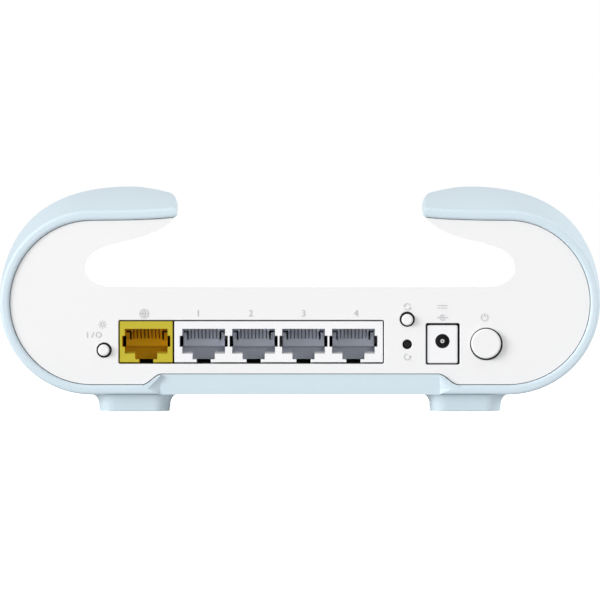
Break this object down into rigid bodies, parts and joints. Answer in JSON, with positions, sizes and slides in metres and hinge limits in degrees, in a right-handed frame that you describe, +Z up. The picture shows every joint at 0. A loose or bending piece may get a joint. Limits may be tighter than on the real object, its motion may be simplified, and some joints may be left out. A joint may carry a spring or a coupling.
{
  "type": "wireless router",
  "caption": "Wireless router: a light blue shell curls in wings over a white deck, with network sockets, a power inlet and push buttons on the rear panel.",
  "frame": {"origin": "centre of the bounding box at the underside of the rubber pads", "axes": "+X to the right as seen from the port side, +Y from the port side to the nose, +Z up"},
  "size_m": [0.175, 0.1608, 0.0645],
  "materials": {
    "shell_plastic": "satin",
    "cover_plastic": "satin",
    "button_plastic": "satin",
    "foot_rubber": "matte",
    "screw_steel": "zinc plated",
    "circuit_board": "solder mask",
    "yellow_plastic": "moulded",
    "socket_plastic": "moulded",
    "contact_metal": "gold plated",
    "inlet_plastic": "moulded, dark in the bore",
    "black_plastic": "moulded",
    "stem_plastic": "moulded",
    "inlet_metal": "nickel plated",
    "chip_plastic": "matte",
    "pad_rubber": "soft",
    "sink_aluminium": "extruded",
    "shield_steel": "tinned",
    "capacitor_can": "sleeved",
    "ferrite": "matte",
    "led_lens": "clear",
    "antenna_board": "solder mask",
    "lead_sheath": "sheathed"
  },
  "bodies": {
    "housing": {"antenna_connectors": "contact_metal", "board_screws": "screw_steel", "button_board": "circuit_board", "capacitors": "capacitor_can", "flash_chip": "chip_plastic", "heat_sink": "sink_aluminium", "housing_screws": "screw_steel", "inductors": "ferrite", "inlet_pin": "inlet_metal", "inlet_spring": "contact_metal", "lan_contacts": "contact_metal", "lan_sockets": "socket_plastic", "lan_transformers": "chip_plastic", "led_switch": "black_plastic", "left_front_antenna": "antenna_board", "left_front_antenna_lead": "lead_sheath", "left_radio_shield": "shield_steel", "left_rear_antenna": "antenna_board", "left_rear_antenna_lead": "lead_sheath", "light_pipe": "led_lens", "main_board": "circuit_board", "memory_chip": "chip_plastic", "outer_shell": "shell_plastic", "power_inlet": "inlet_plastic", "power_switch": "black_plastic", "processor": "chip_plastic", "rear_panel": "cover_plastic", "reset_switch": "black_plastic", "right_front_antenna": "antenna_board", "right_front_antenna_lead": "lead_sheath", "right_radio_shield": "shield_steel", "right_rear_antenna": "antenna_board", "right_rear_antenna_lead": "lead_sheath", "rubber_feet": "foot_rubber", "status_led": "led_lens", "switch_chip": "chip_plastic", "thermal_pad": "pad_rubber", "top_cover": "cover_plastic", "wan_contacts": "contact_metal", "wan_socket": "yellow_plastic", "wan_transformer": "chip_plastic", "wps_switch": "black_plastic"},
    "power_button": {"power_button": "button_plastic", "power_plunger": "stem_plastic"},
    "led_button": {"led_button": "button_plastic", "led_stem": "stem_plastic"},
    "wps_button": {"wps_button": "button_plastic", "wps_stem": "stem_plastic"},
    "reset_stem": {"reset_stem": "stem_plastic"}
  },
  "joints": [
    {"name": "power_push", "type": "slide", "parent": "housing", "child": "power_button", "axis": [0, 1, 0], "range_m": [0, 0.002], "stiffness_N_per_m": 900},
    {"name": "led_push", "type": "slide", "parent": "housing", "child": "led_button", "axis": [0, 1, 0], "range_m": [0, 0.0005], "stiffness_N_per_m": 2500},
    {"name": "wps_push", "type": "slide", "parent": "housing", "child": "wps_button", "axis": [0, 1, 0], "range_m": [0, 0.0005], "stiffness_N_per_m": 2500},
    {"name": "reset_push", "type": "slide", "parent": "housing", "child": "reset_stem", "axis": [0, 1, 0], "range_m": [0, 0.0005], "stiffness_N_per_m": 2500}
  ]
}
